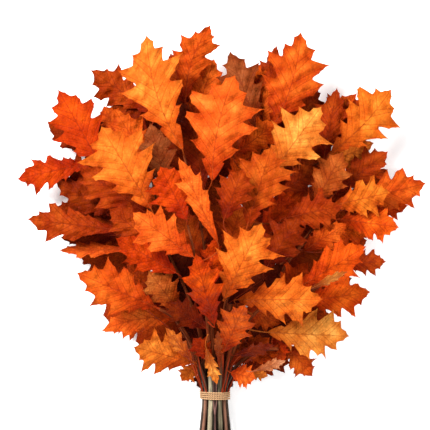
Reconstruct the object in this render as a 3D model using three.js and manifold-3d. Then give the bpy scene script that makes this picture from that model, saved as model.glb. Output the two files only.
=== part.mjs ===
// A tied bunch of autumn oak branches lying on a table: woody stems bound with jute twine,
// each stem fanning out into a spray of lobed leaves.
// Millimetres, +Z up. The stems run along Y with the leaves at the +Y end, and the origin is on
// the table, under the flat leaf at the back of the bunch that carries most of its weight.
import * as THREE from "three";
import { mergeVertices } from "three/addons/utils/BufferGeometryUtils.js";
import Module from "manifold-3d";

const wasm = await Module();
wasm.setup();

// Blades and twigs
const BLADE_THICKNESS = 0.9;
const BLADE_DROOP = 0.1; // how far a blade's edges hang, per millimetre from its midrib
const PETIOLE_RADIUS = 1.2; // half its width
const PETIOLE_DEPTH = 1.9;
const TWIG_SIDES = 5;
const TWIG_END_RADIUS = 1.7;
const BRANCH_RADIUS = 1.9;
const TWIG_TABLE_GAP = 0.8; // the least height of a twig over the table
const PETIOLE_TABLE_GAP = 0.1;

// The tie and the bundle of stems inside it
const TIE_Y = -267;
const TIE_Z = 24;
const TIE_RADIUS = 21.5; // to the middle of the cord
const CORD_RADIUS = 1.35;
const CORD_PITCH = 3;
const CORD_TURNS = 4;
const CORD_SIDES = 5;
const CORD_STEPS = 14; // straight pieces in one turn of the cord
const SEAT_GAP = 0.5; // between a stem and the twine that holds it
const STRAIGHT = 12; // each side of the tie the stems run straight for this far
const CUT_Y = -375;
const CUT_Z = 23.12; // the lowest stem's cut end touches the table
const FORK_Y = -295;
const FORK_TURN = 6; // of each arm from the top of the bundle, in degrees
const FORK_RADIUS = 1.4;
const FORK_REACH = 25;
const FORK_PAST = 2; // its arms run straight for this far past the twine
const FORK_RISE = 14;
const CUT_SPREAD = 1.7; // how much wider the bundle is at the cut ends than in the tie
const CUT_SWELL = 1.25; // and how much higher

// The bunch is a pile of nested shells between the table and a low dome. A leaf of level 0 lies on
// the table and one of level 10 lies on the dome, so two leaves of unlike level never meet.
const LEVELS = 10;
const PILE_POWER = 1.3; // over 1 packs the lower shells closer than the upper ones
const DOME_HEIGHT = 215;
const DOME_REACH = 330;
const DOME_CENTRE_Y = 10;
const DOME_RIM = 0.45; // height at the rim as a share of the dome's height
const NECK_LOW = 6;
const NECK_HIGH = 64;
const NECK_REACH = 200; // distance from the tie at which the dome has its full height
const FLOOR_REACH = 130;

// One side of a lobed blade from stalk to tip: share of the length, share of the half width.
const SIDE_OUTLINE = [
  [0.0, 0.03],
  [0.3, 0.64],
  [0.31, 0.45],
  [0.42, 0.8],
  [0.52, 0.97],
  [0.53, 0.54],
  [0.62, 0.84],
  [0.73, 1.0],
  [0.72, 0.48],
  [0.85, 0.52],
  [0.85, 0.26],
];
// Deep in the bunch, under this level, and on the narrow leaves the lobes have no side teeth.
const PLAIN_LEVEL = 4.85;
const PLAIN_WIDTH = 50;
const SIDE_TEETH = [3, 6, 9, 10]; // their places in the outline
// Under this level a leaf lies flat and has only shallow lobes.
const FLAT_LEVEL = 1.5;
const SHALLOW_OUTLINE = [
  [0.0, 0.03],
  [0.16, 0.5],
  [0.34, 0.8],
  [0.52, 0.97],
  [0.55, 0.76],
  [0.73, 1.0],
  [0.76, 0.68],
];
const MIDRIB = [0.35, 0.7];
const STALK = [-1, -0.5]; // shares along the petiole, back from the blade to the twig
const STALK_DRAWN = 0.05; // width of the petiole in the flat shape that is cut into triangles

// Each stem: place in the bundle (angle round it, distance of its middle from the twine or, for an
// inner stem, from the bundle's middle), level, twig path and side branches as x, y, and its leaves.
// A leaf: level, stalk end x, y, tip x, y, width, sideways slope, rise at the tip, and for some the
// bow of the midrib to the left.
const STEMS = [
  {
    name: "front_left_stem",
    colour: "#e65a18",
    angle: 112,
    radius: 4.0,
    level: 7.6,
    twigs: [[[-8, -190], [-14, -130], [-27, -65], [-39, -14]]],
    leaves: [
      [7.9, -41, -6, -78, 69, 76, 0.0, 6],
      [8.3, 4, -39, -52, 83, 38, -0.6, 10],
      [8.3, -31, -59, -117, 4, 67, 0.1, 4],
      [9.2, -1, -157, -28, -53, 58, 0.15, 8],
      [8.4, -3, -215, -32, -178, 35, 0.2, 2],
      [9.3, -13, -192, 3, -250, 22, 0.6, -4],
      [7.8, -12, -165, -70, -124, 49, 0.0, 2],
      [7.1, -6, -105, -1, -33, 41, 0, 2],
    ],
  },
  {
    name: "front_right_stem",
    colour: "#f08c3a",
    angle: 67,
    radius: 4.2,
    level: 8.0,
    twigs: [[[9, -195], [14, -135], [28, -65], [44, -22]]],
    leaves: [
      [7.2, 47, -13, 81, 98, 93, 0.0, 4],
      [7.8, 13, -6, 40, 67, 61, 0.0, 5],
      [8.8, 13, -118, 66, -11, 93, 0.0, 6],
      [8.8, 12, -200, 43, -127, 58, 0.1, 5],
      [9.4, 6, -221, 4, -166, 15, 1.0, 4],
    ],
  },
  {
    name: "right_front_stem",
    colour: "#ee7a28",
    angle: 38,
    radius: 3.6,
    level: 7.2,
    twigs: [[[25, -190], [55, -145], [88, -118], [114, -107]]],
    leaves: [
      [8.1, 33, -121, 154, -120, 81, 0.0, 4],
      [6.5, 77, -171, 195, -176, 79, 0.1, 3],
      [7.0, 122, -103, 218, -45, 67, 0.0, 3],
      [7.8, 132, -107, 191, -80, 15, 0.9, 3],
      [7.8, 28, -206, 88, -188, 22, 0.6, 2],
      [7.6, 23, -232, 60, -240, 41, 0, 1],
    ],
  },
  {
    name: "left_front_stem",
    colour: "#e06a28",
    angle: 144,
    radius: 3.6,
    level: 6.8,
    twigs: [[[-28, -205], [-48, -165], [-62, -147], [-80, -136]]],
    leaves: [
      [6.6, -88, -132, -200, -83, 81, 0.0, 4],
      [7.2, -32, -217, -118, -191, 67, 0.1, 4],
      [8.2, -34, -213, -72, -161, 26, -0.6, 4],
      [6.5, -52, -140, -96, -80, 58, 0.0, 3],
      [4.7, -72, -136, -130, -70, 55, 0, 2],
      [5.6, -51, -152, -166, -169, 49, 0.1, 2, -9],
      [5.0, -27, -220, -50, -247, 32, 0.0, -2],
    ],
  },
  {
    name: "left_middle_stem",
    colour: "#e8742a",
    angle: 173,
    radius: 4.0,
    level: 5.9,
    twigs: [[[-19, -190], [-42, -110], [-72, -45], [-89, 2]]],
    leaves: [
      [7.4, -92, 10, -163, 127, 108, 0.0, 5],
      [6.9, -56, -83, -143, -33, 61, 0.0, 3],
      [5.5, -29, -124, -68, -51, 64, 0, 2],
      [5.3, -18, -196, -42, -148, 47, 0, 2],
      [5.8, -91, -40, -154, 10, 52, 0.0, 3],
      [4.4, -141, -22, -277, -6, 58, 0, 2],
    ],
  },
  {
    name: "right_middle_stem",
    colour: "#d4541a",
    angle: -16,
    radius: 3.3,
    level: 5.5,
    twigs: [
      [[35, -180], [75, -95], [125, -45], [176, -9]],
      [[56, -138], [105, -122], [150, -105], [180, -87]],
    ],
    leaves: [
      [6.1, 102, -4, 184, 13, 64, 0.1, 3],
      [6.7, 73, -77, 122, 1, 67, 0.0, 4],
      [5.7, 128, -52, 192, -12, 44, 0.0, 2],
      [6.0, 19, -129, 100, -71, 55, 0, 2],
      [5.0, 89, -127, 136, -69, 49, 0, 2],
      [3.2, 170, -52, 225, -37, 44, 0, 2],
      [4.9, 184, -6, 270, -18, 55, 0.0, 2],
      [4.6, 133, -127, 229, -113, 64, 0, 2],
      [3.7, 189, -72, 253, -69, 41, 0, 2],
    ],
  },
  {
    name: "centre_stem",
    colour: "#f48a34",
    angle: 100,
    inner: 4.85,
    radius: 4.1,
    level: 6.0,
    twigs: [[[-6, -150], [-18, -30], [-35, 50], [-45, 86]]],
    leaves: [
      [6.6, -47, 95, -99, 261, 96, 0, 4, 12],
      [7.0, -4, 50, 29, 201, 108, 0.0, 5],
      [5.8, -70, 37, -94, 134, 58, 0.0, 3],
      [4.8, -15, -77, -60, 13, 67, 0, 2],
    ],
  },
  {
    name: "centre_right_stem",
    colour: "#f09848",
    angle: -20,
    inner: 4.85,
    radius: 4.1,
    level: 5.0,
    twigs: [[[20, -150], [48, -40], [66, 20], [76, 51]]],
    leaves: [
      [6.2, 80, 59, 154, 157, 90, 0.0, 4],
      [5.2, 146, 17, 187, 93, 61, 0.0, 3],
      [4.5, 99, 35, 154, 70, 47, 0.0, 2],
      [5.9, 19, -54, 38, 16, 58, 0, 2],
      [4.0, 60, -31, 132, 35, 61, 0, 2],
      [5.3, 32, 91, 91, 135, 52, 0.0, 2],
    ],
  },
  {
    name: "right_stem",
    colour: "#dc5a22",
    angle: -45,
    radius: 3.3,
    level: 4.6,
    twigs: [[[45, -170], [110, -65], [150, -10], [165, 8]]],
    leaves: [
      [5.4, 172, 14, 256, 33, 61, 0.1, 3],
      [4.1, 197, 18, 312, 47, 64, 0.0, 2],
      [3.4, 180, 35, 256, 94, 58, 0.0, 2],
      [2.9, 152, 70, 236, 107, 55, 0, 2],
      [3.6, 152, -25, 235, -19, 58, 0, 2],
      [4.6, 171, 92, 260, 186, 84, 0, 3, -6],
    ],
  },
  {
    name: "low_right_stem",
    colour: "#c84a20",
    angle: 10,
    radius: 3.0,
    level: 6.4,
    twigs: [[[28, -228], [46, -210], [70, -197], [92, -196]]],
    leaves: [
      [4.8, 103, -189, 144, -238, 44, 0.0, -2],
      [5.6, 87, -175, 100, -217, 32, 0.0, -2],
      [6.0, 35, -210, 93, -203, 32, 0.0, 1],
      [6.6, 22, -222, 80, -178, 47, 0, 2],
      [7.3, 57, -229, 103, -212, 19, 0.5, 1],
      [5.4, 47, -233, 79, -238, 20, 0.3, 0],
      [6.2, 36, -138, 97, -158, 44, 0, 1],
    ],
  },
  {
    name: "top_right_stem",
    colour: "#e06420",
    angle: -72,
    radius: 4.0,
    level: 3.8,
    twigs: [
      [[18, -150], [45, 0], [65, 80], [80, 125]],
      [[55, 35], [105, 55], [156, 78]],
    ],
    leaves: [
      [4.9, 86, 131, 126, 269, 93, 0, 4, -8],
      [3.6, 161, 87, 180, 188, 58, 0, 3],
      [3.6, 63, 126, 22, 242, 64, 0.0, 3],
      [4.3, 20, 37, 60, 101, 52, 0, 2],
      [3.0, 64, 111, 77, 197, 49, 0, 2],
      [2.6, 56, 122, 70, 226, 60, 0, 2],
      [2.6, 134, 96, 212, 182, 62, 0, 2],
    ],
    understory: [-1, -1],
  },
  {
    name: "top_stem",
    colour: "#c8501c",
    angle: -140,
    inner: 4.85,
    radius: 4.1,
    level: 3.3,
    twigs: [[[-5, -150], [-20, 0], [-32, 90], [-40, 163]]],
    leaves: [
      [4.2, -43, 173, -6, 280, 61, 0.2, 4, 9],
      [3.0, -35, 129, -1, 231, 70, 0.0, 3],
      [4.4, -16, 40, -40, 157, 67, 0, 2],
      [2.7, -48, 50, -62, 140, 60, 0, 2],
    ],
    understory: [1, -1],
  },
  {
    name: "top_left_stem",
    colour: "#c44a18",
    angle: -131,
    radius: 3.5,
    level: 3.6,
    twigs: [
      [[-25, -170], [-65, -50], [-92, 50], [-95, 130]],
      [[-80, -5], [-122, 35], [-160, 61]],
    ],
    leaves: [
      [4.6, -167, 72, -231, 185, 84, 0, 3],
      [3.0, -93, 152, -185, 215, 64, 0, 3],
      [3.8, -140, 110, -164, 161, 38, 0.0, 2],
      [4.9, -94, 71, -148, 156, 64, 0.0, 3],
      [4.25, -101, 3, -201, 72, 76, 0, 2],
      [2.6, -102, 118, -152, 186, 56, 0, 2],
    ],
    understory: [1, 1],
  },
  {
    name: "left_stem",
    colour: "#b84818",
    angle: -158,
    radius: 3.8,
    level: 3.2,
    twigs: [[[-40, -190], [-95, -95], [-140, -10], [-178, 62]]],
    leaves: [
      [3.9, -184, 77, -293, 53, 55, 0, 2],
      [3.3, -143, 1, -237, 50, 58, 0, 2],
      [3.0, -129, -50, -233, -53, 26, 0.4, 1],
      [2.4, -156, 46, -230, 78, 48, 0, 2],
    ],
  },
  {
    name: "back_stem",
    colour: "#8a3414",
    angle: -101,
    radius: 3.6,
    level: 0.15,
    twigs: [
      [[0, -205], [0, -150], [0, -110], [0, -72]],
      [[0, -165], [-45, -105], [-62, -40], [-66, 52]],
      [[0, -165], [45, -105], [62, -40], [66, 52]],
    ],
    leaves: [
      [0, 0, -62, 0, 62, 98, 0, 0],
      [0, -92, -78, -200, -30, 104, 0, 0],
      [0, 92, -78, 200, -30, 104, 0, 0],
      [0, -70, 60, -128, 165, 88, 0, 0],
      [0, 70, 60, 128, 165, 88, 0, 0],
      [0.7, 60, -35, 186, 22, 102, 0, 0],
      [0.9, 62, 40, 166, 122, 100, 0, 0],
      [0.8, 8, 52, 22, 172, 98, 0, 0],
      [0.7, -32, 82, -52, 212, 96, 0, 0],
      [0.7, -66, -30, -190, 34, 102, 0, 0],
      [0.9, -92, 50, -184, 138, 96, 0, 0],
      [0.7, 50, -128, 166, -138, 104, 0, 0],
      [0.7, -62, -128, -168, -150, 88, 0, 0],
      [1.3, -40, -40, -90, 50, 74, 0, 0],
      [0.95, 130, -5, 222, 22, 70, 0, 0],
      [0.95, -28, -195, -118, -168, 76, 0, 0],
      [0.95, 28, -190, 112, -172, 76, 0, 0],
      [1.2, 2, -205, 8, -95, 96, 0, 0],
      [0.9, 3, -234, 34, -184, 46, 0, 0],
      [0.9, -5, -234, -36, -184, 46, 0, 0],
      [1.4, 46, -66, 70, 30, 64, 0, 0],
    ],
  },
];

const lerp = THREE.MathUtils.lerp;
const smooth = THREE.MathUtils.smoothstep;

// Height of the shell of a level over a point of the table.
function shellHeight(level, x, y) {
  const reach = Math.hypot(x, y - TIE_Y);
  const low = NECK_LOW * (1 - smooth(reach, 0, FLOOR_REACH));
  const out = (x * x + (y - DOME_CENTRE_Y) ** 2) / DOME_REACH ** 2;
  const dome = DOME_RIM + (1 - DOME_RIM) * Math.sqrt(Math.max(0, 1 - out));
  const high = lerp(NECK_HIGH, DOME_HEIGHT * dome, smooth(reach, 0, NECK_REACH));
  return lerp(low, high, (level / LEVELS) ** PILE_POWER);
}

function leafOf(row) {
  const [level, baseX, baseY, tipX, tipY, width, slope, rise, bow = 0] = row;
  const length = Math.hypot(tipX - baseX, tipY - baseY);
  const along = [(tipX - baseX) / length, (tipY - baseY) / length];
  return { level, baseX, baseY, length, along, width, slope, rise, bow };
}

// A point of the blade's underside: share of the length, millimetres to the left of the midrib.
function bladePoint(leaf, share, left) {
  const [ax, ay] = leaf.along;
  const aside = left + 4 * leaf.bow * share * (1 - share);
  const x = leaf.baseX + ax * share * leaf.length - ay * aside;
  const y = leaf.baseY + ay * share * leaf.length + ax * aside;
  const droop = leaf.level < FLAT_LEVEL ? 0 : BLADE_DROOP * Math.abs(left);
  const z = shellHeight(leaf.level, x, y) + leaf.slope * left + leaf.rise * share * share - droop;
  return new THREE.Vector3(x, y, z);
}

const WELD = 1e-4; // corners nearer than this are one
function solidFrom(positions, triangles) {
  const geometry = new THREE.BufferGeometry()
    .setAttribute("position", new THREE.Float32BufferAttribute(positions, 3))
    .setIndex(triangles);
  const merged = mergeVertices(geometry, WELD);
  return new wasm.Manifold(
    new wasm.Mesh({
      numProp: 3,
      vertProperties: merged.attributes.position.array,
      triVerts: new Uint32Array(merged.index.array),
    }),
  );
}

// Both halves of a leaf as flat triangles between the midrib and the edge. Below 0 the share counts
// back along the petiole, which is a strip of its own width.
const spine = [...STALK, 0, ...MIDRIB, 1];
function halfBlade(outline) {
  const shape = [
    ...spine.map((u) => new THREE.Vector2(u, 0)),
    ...outline.toReversed().map(([u, v]) => new THREE.Vector2(u, v)),
    ...STALK.toReversed().map((u) => new THREE.Vector2(u, STALK_DRAWN)),
  ];
  return { shape, faces: THREE.ShapeUtils.triangulateShape(shape, []) };
}
const toothedHalf = halfBlade(SIDE_OUTLINE);
const plainHalf = halfBlade(SIDE_OUTLINE.filter((_, i) => !SIDE_TEETH.includes(i)));
const shallowHalf = halfBlade(SHALLOW_OUTLINE);
function halfOf(leaf) {
  if (leaf.level < FLAT_LEVEL) return shallowHalf;
  return leaf.level < PLAIN_LEVEL || leaf.width < PLAIN_WIDTH ? plainHalf : toothedHalf;
}

function petiolePoint(stalk, share, left) {
  const p = stalk.getPoint(1 + share);
  const ahead = stalk.getTangent(1 + share).setZ(0).normalize();
  const z = Math.max(p.z - PETIOLE_DEPTH / 2, PETIOLE_TABLE_GAP);
  return new THREE.Vector3(p.x - ahead.y * left, p.y + ahead.x * left, z);
}

function leafSolid(leaf, stalk) {
  const positions = [];
  const triangles = [];
  const bladeDepth = BLADE_THICKNESS * Math.hypot(1, leaf.slope);
  const half = halfOf(leaf);
  const count = half.shape.length;
  for (const side of [1, -1]) {
    for (const top of [0, 1]) {
      for (const { x: u, y: v } of half.shape) {
        const strip = u < 0;
        const out = strip ? Math.sign(v) * PETIOLE_RADIUS : (v * leaf.width) / 2;
        const p = strip ? petiolePoint(stalk, u, side * out) : bladePoint(leaf, u, side * out);
        positions.push(p.x, p.y, p.z + top * (strip ? PETIOLE_DEPTH : bladeDepth));
      }
    }
    const under = side > 0 ? 0 : 2 * count;
    const over = under + count;
    for (const [a, b, c] of half.faces) {
      const [p, q] = side > 0 ? [b, c] : [c, b];
      triangles.push(over + a, over + p, over + q);
      triangles.push(under + a, under + q, under + p);
    }
    for (let i = spine.length - 1; i < count; i++) {
      const next = (i + 1) % count;
      const [p, q] = side > 0 ? [i, next] : [next, i];
      triangles.push(under + p, under + q, over + q);
      triangles.push(under + p, over + q, over + p);
    }
  }
  return solidFrom(positions, triangles);
}

// A closed tube through points, with its own radius at each.
function tubeSolid(points, radii, sides) {
  const positions = [];
  const triangles = [];
  const up = new THREE.Vector3(0, 0, 1);
  points.forEach((point, i) => {
    const before = points[Math.max(0, i - 1)];
    const after = points[Math.min(points.length - 1, i + 1)];
    const ahead = after.clone().sub(before).normalize();
    const across = ahead.clone().cross(up).normalize();
    const over = across.clone().cross(ahead);
    for (let k = 0; k < sides; k++) {
      const turn = (2 * Math.PI * k) / sides;
      const p = point.clone();
      p.addScaledVector(across, radii[i] * Math.cos(turn));
      p.addScaledVector(over, radii[i] * Math.sin(turn));
      positions.push(p.x, p.y, p.z);
    }
  });
  const last = (points.length - 1) * sides;
  for (let k = 0; k < sides; k++) {
    const next = (k + 1) % sides;
    for (let i = 0; i < last; i += sides) {
      triangles.push(i + k, i + sides + k, i + sides + next);
      triangles.push(i + k, i + sides + next, i + next);
    }
    if (k > 0 && k < sides - 1) {
      triangles.push(0, k, k + 1);
      triangles.push(last, last + k + 1, last + k);
    }
  }
  const solid = solidFrom(positions, triangles);
  if (solid.volume() > 0) return solid;
  return solidFrom(positions, triangles.toReversed());
}

// A stem's place in the bundle: outer stems lie against the twine, inner ones round the middle.
function slotOf(stem) {
  const turn = THREE.MathUtils.degToRad(stem.angle);
  const seat = TIE_RADIUS - CORD_RADIUS - SEAT_GAP - stem.radius;
  const ring = stem.inner ?? seat;
  return [ring * Math.cos(turn), ring * Math.sin(turn)];
}

// The main twig from its cut end through the tie, and the side branches, as lists of points.
const TWIG_POINTS = 7;
const BRANCH_POINTS = 5;
const curveThrough = (points) => new THREE.CatmullRomCurve3(points, false, "centripetal");
function twigLines(stem) {
  const [slotX, slotZ] = slotOf(stem);
  const onShell = ([x, y]) => {
    const z = shellHeight(stem.level, x, y);
    return new THREE.Vector3(x, y, Math.max(z, BRANCH_RADIUS + TWIG_TABLE_GAP));
  };
  const cut = new THREE.Vector3(CUT_SPREAD * slotX, CUT_Y, CUT_Z + CUT_SWELL * slotZ);
  const below = new THREE.Vector3(slotX, TIE_Y - STRAIGHT, TIE_Z + slotZ);
  const above = new THREE.Vector3(slotX, TIE_Y + STRAIGHT, TIE_Z + slotZ);
  const [main, ...branches] = stem.twigs.map((path) => path.map(onShell));
  const trunk = curveThrough([above, ...main]).getPoints(TWIG_POINTS);
  const sides = branches.map(([first, ...rest]) => {
    const fork = trunk.reduce((a, b) => (a.distanceTo(first) < b.distanceTo(first) ? a : b));
    return curveThrough([fork, ...rest]).getPoints(BRANCH_POINTS);
  });
  return [[cut, below, ...trunk], ...sides];
}

function twigSolids(stem, lines) {
  return lines.map((line, i) => {
    const first = i === 0 ? stem.radius : BRANCH_RADIUS;
    const radii = line.map((p) => {
      const far = smooth(p.y, TIE_Y + STRAIGHT, TIE_Y + NECK_REACH);
      return i === 0 ? lerp(first, TWIG_END_RADIUS, far) : first;
    });
    return tubeSolid(line, radii, TWIG_SIDES);
  });
}

// The petiole leaves the twig where the way to the leaf is short and runs along with the leaf.
const SPOTS = 8; // places on each straight piece of a twig where a petiole may start
const DETOUR = 1.7; // over 1; the smaller, the longer a way is taken to run along with the leaf
const PETIOLE_LEAST = 5;
const PETIOLE_PULL = 0.4; // share of the way over which the petiole follows the leaf's midrib
function spotsAlong(line) {
  const spots = [];
  for (let i = 0; i + 1 < line.length; i++) {
    for (let k = 0; k < SPOTS; k++) spots.push(line[i].clone().lerp(line[i + 1], k / SPOTS));
  }
  return spots;
}

function petioleCurve(leaf, lines) {
  const base = bladePoint(leaf, 0, 0);
  const ahead = new THREE.Vector3(leaf.along[0], leaf.along[1], 0);
  let best = null;
  let least = Infinity;
  for (const line of lines) {
    for (const p of spotsAlong(line).filter((q) => q.y > TIE_Y + 2 * STRAIGHT)) {
      const way = base.clone().sub(p);
      const cost = way.length() * (DETOUR - way.clone().normalize().dot(ahead));
      if (cost < least && way.length() > PETIOLE_LEAST) {
        least = cost;
        best = p;
      }
    }
  }
  const bend = base.clone().addScaledVector(ahead, -PETIOLE_PULL * best.distanceTo(base));
  return new THREE.QuadraticBezierCurve3(best, bend, base);
}

// Leaves hidden in the back of the bunch, to the left (1) or right (-1) of a stem and lower than it.
const UNDER_FIRST = 0.5; // the part of the stem that carries them, as shares of its length
const UNDER_SPAN = 0.38;
const UNDER_DROP = 1.4; // levels below the stem
const UNDER_STEP = 0.3;
const UNDER_SHORTEST = 106;
const UNDER_LONGEST = 130;
const UNDER_WIDTH = 0.62; // share of the length
const UNDER_RISE = 2;
const UNDER_TURN = 50; // degrees away from the stem
const UNDER_TURN_SPREAD = 16;
const UNDER_PETIOLE = 15;
const DRAW_FACTOR = 16807;
const DRAW_MODULUS = 2147483647;
let seed = 7;
function draw() {
  seed = (seed * DRAW_FACTOR) % DRAW_MODULUS;
  return seed / DRAW_MODULUS;
}
function understory(stem, lines) {
  const rows = [];
  const curve = curveThrough(lines[0]);
  for (const [i, side] of (stem.understory ?? []).entries()) {
    const share = UNDER_FIRST + UNDER_SPAN * ((i + draw()) / stem.understory.length);
    const at = curve.getPointAt(share);
    const ahead = curve.getTangentAt(share);
    const away = THREE.MathUtils.degToRad(UNDER_TURN + UNDER_TURN_SPREAD * draw());
    const turn = Math.atan2(ahead.y, ahead.x) + side * away;
    const length = lerp(UNDER_SHORTEST, UNDER_LONGEST, draw());
    const [dx, dy] = [Math.cos(turn), Math.sin(turn)];
    const level = stem.level - UNDER_DROP - UNDER_STEP * i;
    const near = UNDER_PETIOLE;
    rows.push([
      level,
      at.x + near * dx,
      at.y + near * dy,
      at.x + (near + length) * dx,
      at.y + (near + length) * dy,
      UNDER_WIDTH * length,
      0,
      UNDER_RISE,
    ]);
  }
  return rows;
}

// A stem, its branches and its leaves as one solid. A pocket closed in where petioles meet is filled.
const CLEAN_UP = 0.2;
const CRUMB = 1; // volume under which a body is only a crumb of the union
function stemSolid(stem) {
  const lines = twigLines(stem);
  const leaves = [...stem.leaves, ...understory(stem, lines)].map(leafOf);
  const pieces = twigSolids(stem, lines);
  for (const leaf of leaves) pieces.push(leafSolid(leaf, petioleCurve(leaf, lines)));
  const bodies = wasm.Manifold.union(pieces).simplify(CLEAN_UP).decompose();
  const loose = bodies.filter((body) => body.volume() > CRUMB).length > 1;
  if (loose) throw new Error(stem.name + " has a loose leaf");
  return bodies.reduce((a, b) => (a.volume() > b.volume() ? a : b));
}

// A thin bare twig in the front of the bundle, forked just below the tie.
function forkedTwigSolid() {
  const seat = TIE_RADIUS - CORD_RADIUS - SEAT_GAP - FORK_RADIUS;
  const fork = new THREE.Vector3(0, FORK_Y, TIE_Z + CUT_SWELL * seat);
  const cut = new THREE.Vector3(1, CUT_Y, CUT_Z + CUT_SWELL * seat);
  const trunk = [cut, fork];
  const arms = [1, -1].map((side) => {
    const turn = THREE.MathUtils.degToRad(90 + side * FORK_TURN);
    const [x, z] = [seat * Math.cos(turn), TIE_Z + seat * Math.sin(turn)];
    const below = new THREE.Vector3(x, TIE_Y - STRAIGHT, z);
    const above = new THREE.Vector3(x, TIE_Y + (CORD_TURNS * CORD_PITCH) / 2 + FORK_PAST, z);
    const end = new THREE.Vector3(x, TIE_Y + FORK_REACH, z + FORK_RISE);
    return [fork, below, above, end];
  });
  const solids = [trunk, ...arms].map((line) => tubeSolid(line, line.map(() => FORK_RADIUS), TWIG_SIDES));
  return wasm.Manifold.union(solids).simplify(CLEAN_UP);
}

function tieSolid() {
  const points = [];
  const radii = [];
  const start = TIE_Y - (CORD_PITCH * CORD_TURNS) / 2;
  // The corners lie a little outside the true ring, and the straight pieces as much inside it.
  const ring = (TIE_RADIUS / 2) * (1 + 1 / Math.cos(Math.PI / CORD_STEPS));
  for (let i = 0; i <= CORD_STEPS * CORD_TURNS; i++) {
    const turns = i / CORD_STEPS;
    const turn = 2 * Math.PI * turns;
    const y = start + CORD_PITCH * turns;
    points.push(new THREE.Vector3(ring * Math.cos(turn), y, TIE_Z + ring * Math.sin(turn)));
    radii.push(CORD_RADIUS);
  }
  return tubeSolid(points, radii, CORD_SIDES);
}

const ROUGHNESS = 0.7;
function meshOf(name, solid, colour) {
  const made = solid.getMesh();
  const geometry = new THREE.BufferGeometry()
    .setAttribute("position", new THREE.BufferAttribute(made.vertProperties.slice(), 3))
    .setIndex(new THREE.BufferAttribute(made.triVerts.slice(), 1));
  const finish = new THREE.MeshStandardMaterial({ color: colour, roughness: ROUGHNESS });
  const mesh = new THREE.Mesh(geometry, finish);
  mesh.name = name;
  return mesh;
}

const bunch = new THREE.Group();
bunch.name = "oak_leaf_bunch";
for (const stem of STEMS) bunch.add(meshOf(stem.name, stemSolid(stem), stem.colour));
bunch.add(meshOf("forked_twig", forkedTwigSolid(), "#7e5a52"));
bunch.add(meshOf("twine_tie", tieSolid(), "#c8a878"));
export default bunch;
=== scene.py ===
"""A tied bunch of autumn oak branches lying on a table, seen from straight above.

Each stem of the frame is replaced by its lobed leaves and its bark, and the tie by twisted jute.
Sizes are in millimetres, in the frame's own axes, until a mesh is made.
"""

import math
import random

import bpy
import numpy as np
from mathutils.geometry import delaunay_2d_cdt
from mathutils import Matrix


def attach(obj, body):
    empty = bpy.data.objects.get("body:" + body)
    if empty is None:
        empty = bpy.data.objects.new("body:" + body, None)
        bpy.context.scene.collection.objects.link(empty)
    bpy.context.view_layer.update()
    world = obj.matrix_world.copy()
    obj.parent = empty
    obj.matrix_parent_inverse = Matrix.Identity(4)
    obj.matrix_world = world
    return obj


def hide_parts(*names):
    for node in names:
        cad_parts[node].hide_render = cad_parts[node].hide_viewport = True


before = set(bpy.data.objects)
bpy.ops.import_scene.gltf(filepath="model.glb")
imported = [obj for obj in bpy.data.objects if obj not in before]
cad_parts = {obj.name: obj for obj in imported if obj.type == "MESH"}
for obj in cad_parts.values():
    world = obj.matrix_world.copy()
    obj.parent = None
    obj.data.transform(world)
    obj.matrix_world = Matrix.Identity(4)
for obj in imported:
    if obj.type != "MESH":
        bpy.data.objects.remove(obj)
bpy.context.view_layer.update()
MM = 0.001
TINY = 1e-9  # keeps a division from meeting zero

# The camera hangs over the table and sees a square of it
CAMERA_HEIGHT = 3000
SENSOR = 36
VIEW_WIDTH = 645
CLIP_END = 100  # metres

# Blades
BLADE_LIFT = 0.45  # of the blade's middle over the frame's underside
BLADE_THICKNESS = 0.5
BLADE_DROOP = 0.1
LEAF_RISE = 2  # at the tip, unless the leaf's row gives another rise
FLAT_LEVEL = 1.5  # under this level a leaf lies flat and has only shallow lobes
SHALLOW = 0.45  # how far its bays are filled
NARROW_FILL = 0.12  # the same for a narrow leaf: the first width has all of it, the second none
NARROW_WIDTHS = (40, 95)
MARGIN_STEP = 1.5
GRID_STEP = 2.3
GRID_CLEAR = 0.9  # no grid point is nearer than this to the margin or to a vein
GRID_REACH = 0.6  # of the leaf's width, to either side
MERGE_DISTANCE = 1e-4  # nearer points of a blade become one
SHARP_ANGLE = 50  # degrees between two faces from which their edge looks sharp
PUCKER = 3.0  # height of the bulges between veins
PUCKER_OVER = 0.5  # share of that height which lies over the smooth blade
PUCKER_REACH = 6.5
WAVE = 3.4  # of the margin, up and down
WAVE_LENGTH = 62
CRUMPLE = 1.0  # height of the small dents all over a blade
DENT_WAVES = (8, 11, 28)  # number of waves that make the dents, and their least and greatest length
RELIEF_WIDTH = 60  # a leaf narrower than this has less relief
MIDRIB_RADIUS = 0.75
MIDRIB_END_RADIUS = 0.12
MIDRIB_END = 0.95
MIDRIB_POINTS = 24
PETIOLE_RADIUS = 0.95
PETIOLE_FOOT_RADIUS = 1.6
PETIOLE_FOOT_END = 0.2  # shares of the petiole: where its thick foot ends
PETIOLE_THIN_START = 0.6  # and where it starts to thin to the midrib
PETIOLE_SIDES = 6

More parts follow.
